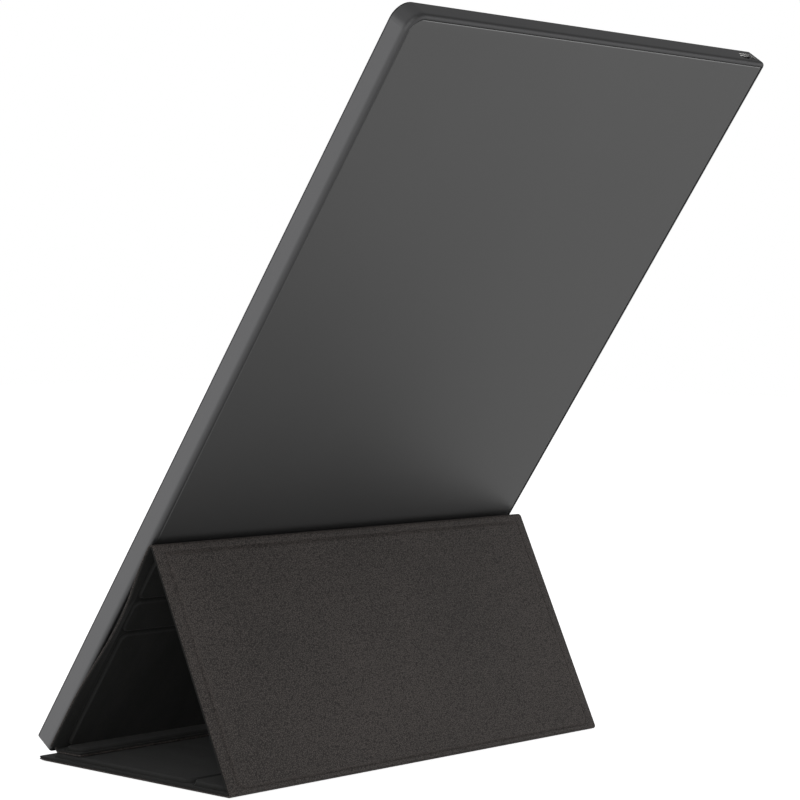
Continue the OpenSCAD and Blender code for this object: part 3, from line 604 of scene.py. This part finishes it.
def make_leather():
    """Leatherette: rounded grains under a millimetre across, with fine creases between them."""
    m = Shader("leather", srgb(61, 56, 53), 0.6, specular_ior_level=0.2)
    place = m.place()
    drift = m.noise(place, 2.2, 2.0, out="Color")
    bent = m.node("ShaderNodeVectorMath", {"operation": "MULTIPLY_ADD"},
                  {0: drift, 1: (0.6 * MM,) * 3, 2: place}, out="Vector")
    grain = m.cells(bent, 0.8, "SMOOTH_F1")
    crease = m.cells(bent, 0.8, "DISTANCE_TO_EDGE").ramp(0.0, 0.2)
    fine = m.noise(place, 0.8, 2.0, 0.6)
    cloud = m.noise(place, 60, 2.0, 0.5)
    height = crease * 0.5 + (1 - grain) * 0.35 + fine * 0.3
    tone = crease * 0.3 + fine * 0.5 + cloud * 0.2
    color = m.stops(tone.ramp(0.34, 0.74), (0, srgb(37, 34, 32)), (0.45, srgb(57, 53, 51)),
                    (1, srgb(80, 74, 71)))
    rough = crease * -0.1 + cloud * 0.1 + 0.62
    return m.set(base_color=shade_and_highlight_tone(m, color, srgb(38, 33, 31), srgb(76, 70, 67)),
                 roughness=rough, normal=m.bump(height, 0.05)).material


def make_lining():
    """Microfibre: a short nap that catches light at a grazing angle, brushed a little unevenly."""
    m = Shader("lining", srgb(46, 45, 45), 0.9, specular_ior_level=0.1, sheen_weight=0.06,
               sheen_roughness=0.45)
    place = m.place()
    nap = m.noise(place, 0.22, 3.0, 0.7)
    brushed = m.noise(m.scaled(place, (1.0, 0.35, 0.35)), 14, 3.0, 0.6)
    flecks = m.noise(place, 0.6, 2.0, 0.6)
    tone = nap * 0.45 + brushed * 0.35 + flecks * 0.2
    color = m.stops(tone.ramp(0.3, 0.72), (0, srgb(32, 32, 31)), (0.5, srgb(41, 41, 40)),
                    (1, srgb(51, 51, 50)))
    return m.set(base_color=shade_and_highlight_tone(m, color, srgb(20), srgb(70)),
                 roughness=nap * 0.12 + 0.84,
                 normal=m.bump(nap * 0.6 + flecks * 0.4, 0.06)).material


def make_stiff_board():
    """Pressed fibreboard: pale and dark fibres pressed flat."""
    m = Shader("stiff_board", (0.45, 0.42, 0.38), 0.85, specular_ior_level=0.2)
    place = m.place()
    fibres = m.noise(m.scaled(place, (1.0, 3.0, 3.0)), 2.6, 4.0, 0.7)
    specks = m.noise(place, 0.5, 2.0).ramp(0.62, 0.72)
    color = m.mix(specks * 0.5, m.stops(fibres, (0.3, (0.34, 0.31, 0.27)),
                                        (0.7, (0.53, 0.5, 0.45))), (0.24, 0.2, 0.16))
    return m.set(base_color=color, normal=m.bump(fibres, 0.08)).material


# ------------------------------------------------------------------ finishes of the monitor

def port_distance(m, place):
    """Distance of a point from the outline of the port's shell, a slot shape, seen end on."""
    x0, x1 = measure("usb_c_receptacle", (1, 0, 0))
    z0, z1 = measure("usb_c_receptacle", (0, *MON.out))
    radius = (z1 - z0) / 2
    across = (m.along(place, (1, 0, 0), (x0 + x1) / 2).size() - ((x1 - x0) / 2 - radius)).larger(0)
    deep = m.along(place, (0, *MON.out), (z0 + z1) / 2)
    return (across * across + deep * deep).math("SQRT") - radius


def satin_paint(name, color, roughness, shift, edge=None):
    """Baked paint: a very fine stipple, with soft drifts of tone and gloss.

    With an edge (start, end, share) given, the tone falls to that share of itself towards the
    monitor's back, between those two depths: painted shade on the shell's rounded back edge.
    The recess around the port is cut bright, partly as a painted highlight on its rim. Without
    one it is the back plate's: a painted highlight along its top, and painted shade down in its
    groove.
    """
    m = Shader(name, color, roughness, metallic=PAINT_METAL, specular_tint=(0.6, 0.6, 0.6, 1))
    place = m.place()
    stipple = m.noise(place, 0.32, 2.0, 0.6)
    drift = m.noise(place, 90, 2.0, 0.5)
    up, depth = m.up(place), m.depth(place)
    tone = m.mix((stipple * 0.5 + drift * 0.5).ramp(0.3, 0.7), toned(color, 1 - shift),
                 toned(color, 1 + shift))
    rough = (stipple - 0.5) * 0.08 + (drift - 0.5) * 0.05 + roughness
    if edge:
        start, end, share = edge
        # painted shade: the paint falls to a share of its tone across the rounded edge towards the back
        tone = m.mix(depth.ramp(start, end), toned(color, share), tone)
        # the cut round the port is bright: bare metal, with a painted highlight on its rim
        cut = port_distance(m, place).below(PORT_RING) * up.above(HEIGHT - PORT_RIM)
        tone = m.mix(cut, tone, CUT_AND_RIM_HIGHLIGHT)
        rough = rough + depth.ramp(start, end, 0.1, 0) + cut * -0.15
    else:
        # painted shade on the plate's rim, down in the groove
        tone = m.mix(depth.ramp(GROOVE_SHADE_START, PLATE_EASE), tone, toned(color, GROOVE_SHADE))
        top = HEIGHT - RIM - PLATE_GAP
        # painted highlight along the plate's top edge
        top_highlight = up.ramp(top - PLATE_EASE, top - TOP_HIGHLIGHT_START)
        tone = m.mix(top_highlight, tone, toned(color, TOP_HIGHLIGHT))
    return m.set(base_color=tone, roughness=rough, normal=m.bump(stipple, 0.012)).material


def brushed_metal(name, color, roughness, axis):
    """Rolled or drawn metal: hair-fine lines along one axis, and faint handling marks."""
    m = Shader(name, color, roughness, metallic=1.0)
    place = m.place()
    stretch = [9.0, 9.0, 9.0]
    stretch[axis] = 0.3
    lines = m.noise(m.scaled(place, tuple(stretch)), 1.4, 4.0, 0.7)
    marks = m.noise(place, 7, 3.0, 0.6)
    tone = m.mix((lines * 0.7 + marks * 0.3).ramp(0.3, 0.7), toned(color, 0.78), color)
    rough = (lines - 0.5) * 0.2 + (marks - 0.5) * 0.12 + roughness
    return m.set(base_color=tone, roughness=rough, normal=m.bump(lines, 0.01)).material


def moulded_plastic(name, color, roughness, grain=0.25):
    """Moulded plastic: a fine spark-eroded stipple and a slightly uneven gloss."""
    m = Shader(name, color, roughness, specular_ior_level=0.4)
    place = m.place()
    stipple = m.noise(place, grain, 2.0, 0.6)
    flow = m.noise(place, 12, 2.0, 0.5)
    tone = m.mix((stipple * 0.6 + flow * 0.4).ramp(0.3, 0.7), toned(color, 0.9),
                 toned(color, 1.12))
    rough = (flow - 0.5) * 0.14 + roughness
    return m.set(base_color=tone, roughness=rough, normal=m.bump(stipple, 0.02)).material


def make_board_mask():
    """Solder mask over copper: pale green tracks at right angles, and round plated holes."""
    m = Shader("circuit_board", (0.03, 0.17, 0.09), 0.32, coat_weight=0.3)
    place = m.place()
    across, _, up = m.parts(place)
    pick = m.parts(m.cells(place, 7, out="Color"))[0]
    pitch, half_track = 0.9, 0.16
    first = (across * PER_METRE).wrapped(pitch) - pitch / 2
    second = (up * PER_METRE).wrapped(pitch) - pitch / 2
    line = (pick.above(0.5) * first.size().below(half_track)
            + pick.below(0.5) * second.size().below(half_track))
    holes = m.cells(place, 3.4, "F1", 0.8).ramp(0.13, 0.1)
    color = m.mix(holes, m.mix(line, (0.02, 0.13, 0.065), (0.05, 0.28, 0.14)), (0.72, 0.62, 0.4))
    return m.set(base_color=color, metallic=holes * 0.8,
                 normal=m.bump(line + holes, 0.03)).material


def make_screen():
    """Anti-glare display glass: black border, a slightly lighter picture area, fine etched haze."""
    m = Shader("screen_glass", (0.008, 0.008, 0.01), 0.24, specular_ior_level=0.5, coat_weight=0.1,
               coat_roughness=0.15)
    place = m.place()
    across, up = m.along(place, (1, 0, 0)), m.up(place)
    low, high = SCREEN
    edge_x = (across - low[0]).smaller(high[0] - across)
    edge = edge_x.smaller((up - low[1]).smaller(high[1] - up))
    lit = edge.ramp(0.4, 0.7)
    haze = m.noise(place, 0.16, 2.0, 0.6)
    pitch = 0.18
    stripe = (across.wrapped(pitch) - pitch / 2).size().ramp(0.02, 0.07) * 0.4 + 0.6
    color = m.mix(lit * stripe, (0.004, 0.004, 0.005), (0.017, 0.017, 0.02))
    return m.set(base_color=color, roughness=(haze - 0.5) * 0.1 + 0.26,
                 normal=m.bump(haze, 0.004)).material


def make_clear(name, color, roughness, haze_size):
    """Clear or milky plastic: light passes through, with a slightly uneven surface."""
    m = Shader(name, color, roughness, transmission_weight=0.55, ior=1.49)
    place = m.place()
    haze = m.noise(place, haze_size, 2.0, 0.5)
    tone = m.mix(haze.ramp(0.3, 0.7), toned(color, 0.93), color)
    return m.set(base_color=tone, roughness=haze * 0.12 + roughness,
                 normal=m.bump(haze, 0.01)).material


def make_film(name, color, roughness):
    """Optical film: an even sheet with rows of fine prisms and faint rolling lines."""
    m = Shader(name, color, roughness, specular_ior_level=0.4)
    place = m.place()
    rows = m.along(place, (0, *MON.along)).wrapped(0.4).ramp(0.0, 0.4)
    rolled = m.noise(m.scaled(place, (0.2, 1.0, 1.0)), 6, 2.0, 0.5)
    tone = m.mix(rolled.ramp(0.35, 0.65), toned(color, 0.94), color)
    return m.set(base_color=tone, roughness=(rolled - 0.5) * 0.2 + roughness,
                 normal=m.bump(rows, 0.02)).material


def make_flex():
    """Flexible circuit: amber film over copper lines that run along it."""
    m = Shader("flex", (0.55, 0.34, 0.1), 0.35, coat_weight=0.2)
    place = m.place()
    lines = (m.along(place, (1, 0, 0)).wrapped(0.5) - 0.25).size().ramp(0.1, 0.15)
    tint = m.noise(place, 4, 2.0)
    color = m.mix(lines, m.mix(tint, (0.62, 0.36, 0.12), (0.5, 0.26, 0.08)), (0.4, 0.24, 0.08))
    return m.set(base_color=color, metallic=0.25 - lines * 0.25,
                 normal=m.bump(1 - lines, 0.02)).material


def make_lamp_strip():
    """White strip with a yellow phosphor window on each lamp."""
    m = Shader("lamp_strip", (0.9, 0.88, 0.75), 0.45)
    place = m.place()
    step = m.along(place, (0, *MON.along)).wrapped(LED_PITCH)
    window = (step - LED_PITCH / 2).size().below(LED_PITCH / 5)
    grain = m.noise(place, 0.3, 2.0)
    color = m.mix(window * 0.8, m.mix(grain, (0.86, 0.86, 0.84), (0.93, 0.93, 0.9)),
                  (0.9, 0.78, 0.2))
    return m.set(base_color=color, roughness=grain * 0.15 + 0.38,
                 normal=m.bump(grain, 0.01)).material


# ------------------------------------------------------------------ pieces

FINISHES = {
    "leather": make_leather(),
    "lining": make_lining(),
    "stiff_board": make_stiff_board(),
    # the last three numbers place the painted shade on the band's rounded back edge
    "band_paint": satin_paint("band_paint", srgb(105, 105, 106), 0.42, 0.035, (0.0, 2.9, 0.4)),
    # same paint as the band, made darker as painted shade on the downward-facing back
    "back_paint": satin_paint("back_paint", srgb(79, 79, 79), 0.42, 0.03),
    "magnet": brushed_metal("magnet", (0.72, 0.72, 0.73), 0.2, axis=0),
    "steel_sheet": brushed_metal("steel_sheet", (0.62, 0.63, 0.65), 0.34, axis=0),
    "frame_metal": brushed_metal("frame_metal", (0.66, 0.67, 0.68), 0.38, axis=2),
    "port_shell": brushed_metal("port_shell", (0.66, 0.66, 0.68), 0.24, axis=2),
    "screw_steel": brushed_metal("screw_steel", (0.5, 0.5, 0.52), 0.3, axis=0),
    "contact_gold": brushed_metal("contact_gold", (0.83, 0.63, 0.28), 0.2, axis=2),
    "black_plastic": moulded_plastic("black_plastic", (0.018, 0.018, 0.02), 0.5),
    "button_plastic": moulded_plastic("button_plastic", (0.075, 0.075, 0.078), 0.42),
    "chip_plastic": moulded_plastic("chip_plastic", (0.03, 0.03, 0.033), 0.55, 0.15),
    "circuit_board": make_board_mask(),
    "screen_glass": make_screen(),
    "light_pipe": make_clear("light_pipe", (0.85, 0.87, 0.9), 0.12, 1.5),
    "light_guide_clear": make_clear("light_guide_clear", (0.88, 0.92, 0.95), 0.08, 6),
    "reflector_white": make_film("reflector_white", (0.93, 0.93, 0.93), 0.35),
    "diffuser": make_film("diffuser", (0.9, 0.91, 0.92), 0.5),
    "flex": make_flex(),
    "lamp_strip": make_lamp_strip(),
}
SLOT_OF = {part["node"]: part["material_slot"] for part in frame["record"]["subparts"]}
BODY_OF = {node: body for body, nodes in frame["record"]["behaviour"]["bodies"].items()
           for node in nodes}


def finish_nodes():
    """Gives every carried-over node the finish of its own slot."""
    for name, node in frame["nodes"].items():
        node.data.materials.clear()
        node.data.materials.append(FINISHES[SLOT_OF[name]])


def stands_for(piece, node):
    """The piece takes the node's place and body."""
    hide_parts(node)
    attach(piece, BODY_OF[node])


def field_over(sheet, node):
    """Half width, start and end of the raised field over a board."""
    low, high = sheet.span(node)
    return (measure(node, (1, 0, 0))[1] + BOARD_INSET, low - BOARD_INSET, high + BOARD_INSET)


def panel(sheet, skin, lining, boards, skin_rise=LEATHER_RISE, **ends):
    """Leather and lining of one panel, raised over its boards on their own sides."""
    fields = [field_over(sheet, board) for board in boards]
    for node, side, thick, rise in ((skin, 1, SKIN, skin_rise),
                                    (lining, -1, LINING, LINING_RISE[lining])):
        half = measure(node, (1, 0, 0))[1]
        start, end = sheet.span(node)
        low, high = sheet.depth(node)
        level = high - rise if side > 0 else low + rise
        piece = raised_sheet(node + "_sheet", sheet, half, start, end, level, thick, side, rise,
                             fields if rise > 0 else [], FINISHES[SLOT_OF[node]], **ends)
        stands_for(piece, node)


def fold(node, name, first, second, skin_in, skin_out, radius, half_w):
    """Leather and lining bands round a fold, each between two of the fold's three faces."""
    axis = second.origin
    reach_in = float((axis - first.origin) @ first.along) - first.span(skin_in)[1]
    reach_out = second.span(skin_out)[0]

    def face(depth, face_radius):
        return bend_path(axis, first.angle, second.angle, reach_in, reach_out,
                         EDGE_LEVEL[skin_in] - depth, EDGE_LEVEL[skin_out] - depth, face_radius)

    outer = face(0, radius)
    between = face(SKIN, max(radius - SKIN, LEAST_MIDDLE))
    inner = face(SKIN + LINING, LINING_RADIUS)
    for finish, kind, upper, lower in (("leather", "skin", outer, between),
                                       ("lining", "lining", between, inner)):
        band = fold_band(f"{name}_{kind}", upper, lower, half_w, FINISHES[finish])
        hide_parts(node)


def support_bow(x, s):
    """The support's side edge stands off the monitor in one long wave, furthest at its peak."""
    rise, start, peak, end = BOW
    wave = smooth((s - start) / (peak - start)) * (1 - smooth((s - peak) / (end - peak)))
    return rise * wave * smooth((np.abs(x) - BOW_EDGE[0]) / (BOW_EDGE[1] - BOW_EDGE[0]))


def cover():
    """The tri-fold cover: base, back, support and foot flap, and the folds that join them."""
    panel(BASE, "base_skin", "base_lining", ("base_board", "base_strip_board"), skin_rise=0.0,
          free0=True, radius0=SHEET_RADIUS)
    panel(BACK, "back_skin", "back_lining", ("back_board",), ease1=RIDGE_EASE)
    panel(SUPPORT, "support_skin", "support_lining",
          ("support_upper_board", "support_middle_board", "support_main_board"),
          bow=support_bow)
    panel(FLAP, "flap_skin", "flap_lining", ("flap_board",), skin_rise=0.0, free1=True,
          radius1=FLAP_RADIUS)
    fold("rear_fold_leather", "rear_band", BASE, BACK, "base_skin", "back_skin", REAR_RADIUS,
         COVER_HALF)
    fold("ridge_fold_leather", "ridge_band", BACK, SUPPORT, "back_skin", "support_skin",
         RIDGE_RADIUS, COVER_HALF)
    fold("foot_fold_leather", "foot_band", SUPPORT, FLAP, "support_skin", "flap_skin", FOOT_RADIUS,
         FLAP_HALF)


def back_plate():
    """Thin plate set in the shell's back: loops that draw in along a quarter circle at its edge."""
    start = RIM + PLATE_GAP
    turn = np.linspace(0, math.pi / 2, PLATE_LOOPS)
    loops = [(shell_outline(start + PLATE_EASE * (1 - math.sin(t))),
              PLATE_EASE * (1 - math.cos(t))) for t in turn]
    loops.append((shell_outline(start), PLATE_T))
    plate = loft("back_plate_sheet", loops, MON.place, FINISHES["back_paint"])
    stands_for(plate, "back_plate")


# ------------------------------------------------------------------ studio

def camera():
    """Camera of 110 mm on a 36 mm frame, a little over a metre away, almost level."""
    heading, pitch, roll = (math.radians(angle) for angle in CAMERA_TURN)
    ahead = Vector((math.cos(pitch) * math.cos(heading), math.cos(pitch) * math.sin(heading),
                    math.sin(pitch)))
    right = ahead.cross(Vector((0, 0, 1))).normalized()
    up = right.cross(ahead)
    across = right * math.cos(roll) + up * math.sin(roll)
    upward = up * math.cos(roll) - right * math.sin(roll)
    data = bpy.data.cameras.new("camera")
    data.sensor_width = SENSOR
    data.lens = LENS
    data.clip_start, data.clip_end = 0.05, 50
    obj = bpy.data.objects.new("camera", data)
    turn = Matrix((across, upward, -ahead)).transposed().to_4x4()
    obj.matrix_world = Matrix.Translation(CAMERA_PLACE) @ turn
    bpy.context.scene.collection.objects.link(obj)
    bpy.context.scene.camera = obj


def lamp(name, place, size, power):
    """Square soft light that faces the object."""
    data = bpy.data.lights.new(name, "AREA")
    data.shape = "SQUARE"
    data.size = size
    data.energy = power
    obj = bpy.data.objects.new(name, data)
    obj.location = place
    ahead = Vector(AIM) - Vector(place)
    obj.rotation_euler = ahead.to_track_quat("-Z", "Y").to_euler()
    bpy.context.scene.collection.objects.link(obj)


def shown_directly(m):
    """1 for rays from the camera, and for those seen in gloss or through glass."""
    return m.ray("Camera").larger(m.ray("Glossy")).larger(m.ray("Transmission"))


def shaded(m, glow):
    """The floor's glow, with a painted shadow behind the stand for every ray but the camera's own."""
    near, far, share = SHADE
    away = m.node("ShaderNodeVectorMath", {"operation": "DISTANCE"},
                  {0: m.place(), 1: SHADE_PLACE}, out="Value")
    return glow * away.ramp(near, far, share).larger(m.ray("Camera"))


def surroundings():
    """Even soft light all round, seen as white by the camera and greyer overhead in gloss."""
    world = bpy.data.worlds.new("studio")
    bpy.context.scene.world = world
    m = Nodes(world)
    fill = m.nodes["Background"]
    m.put(fill.inputs["Color"], (1, 1, 1, 1))
    m.put(fill.inputs["Strength"], SURROUND)
    height = m.parts(m.node("ShaderNodeTexCoord", out="Generated"))[2]
    pale = height.ramp(*SKY_FADE, 1.0, SKY_TOP).larger(m.ray("Camera"))
    white = m.node("ShaderNodeBackground", {}, {"Color": pale, "Strength": 1.0})
    both = m.node("ShaderNodeMixShader", {},
                  {0: shown_directly(m), 1: Num(m, fill.outputs[0]), 2: white})
    m.put(m.nodes["World Output"].inputs[0], both)


def floor_finish():
    """Matt and pale: it takes the object's shadow, and glows where it is seen."""
    material = bpy.data.materials.new("floor")
    m = Nodes(material)
    m.nodes.remove(m.nodes["Principled BSDF"])
    seen = shown_directly(m)
    tint = m.mix(seen, (FLOOR_BOUNCE,) * 3, (FLOOR_TINT,) * 3)
    matte = m.node("ShaderNodeBsdfDiffuse", {}, {"Color": tint})
    glow = m.node("ShaderNodeEmission", {}, {"Strength": shaded(m, seen * FLOOR_GLOW)})
    m.put(m.nodes["Material Output"].inputs[0],
          m.node("ShaderNodeAddShader", {}, {0: matte, 1: glow}))
    return material


def studio():
    """White surroundings, a pale floor that keeps the shadow, and soft lamps."""
    surroundings()
    mesh = bpy.data.meshes.new("floor")
    side = FLOOR_SIDE
    mesh.from_pydata([(-side, -side, 0), (side, -side, 0), (side, side, 0), (-side, side, 0)], [],
                     [(0, 1, 2, 3)])
    mesh.materials.append(floor_finish())
    floor = bpy.data.objects.new("floor", mesh)
    floor.location.z = -FLOOR_DROP
    bpy.context.scene.collection.objects.link(floor)
    for name, place, size, power in STUDIO_LAMPS:
        lamp(name, place, size, power)


camera()
studio()
finish_nodes()
cover()
back_plate()
bpy.context.scene.view_settings.view_transform = "Standard"
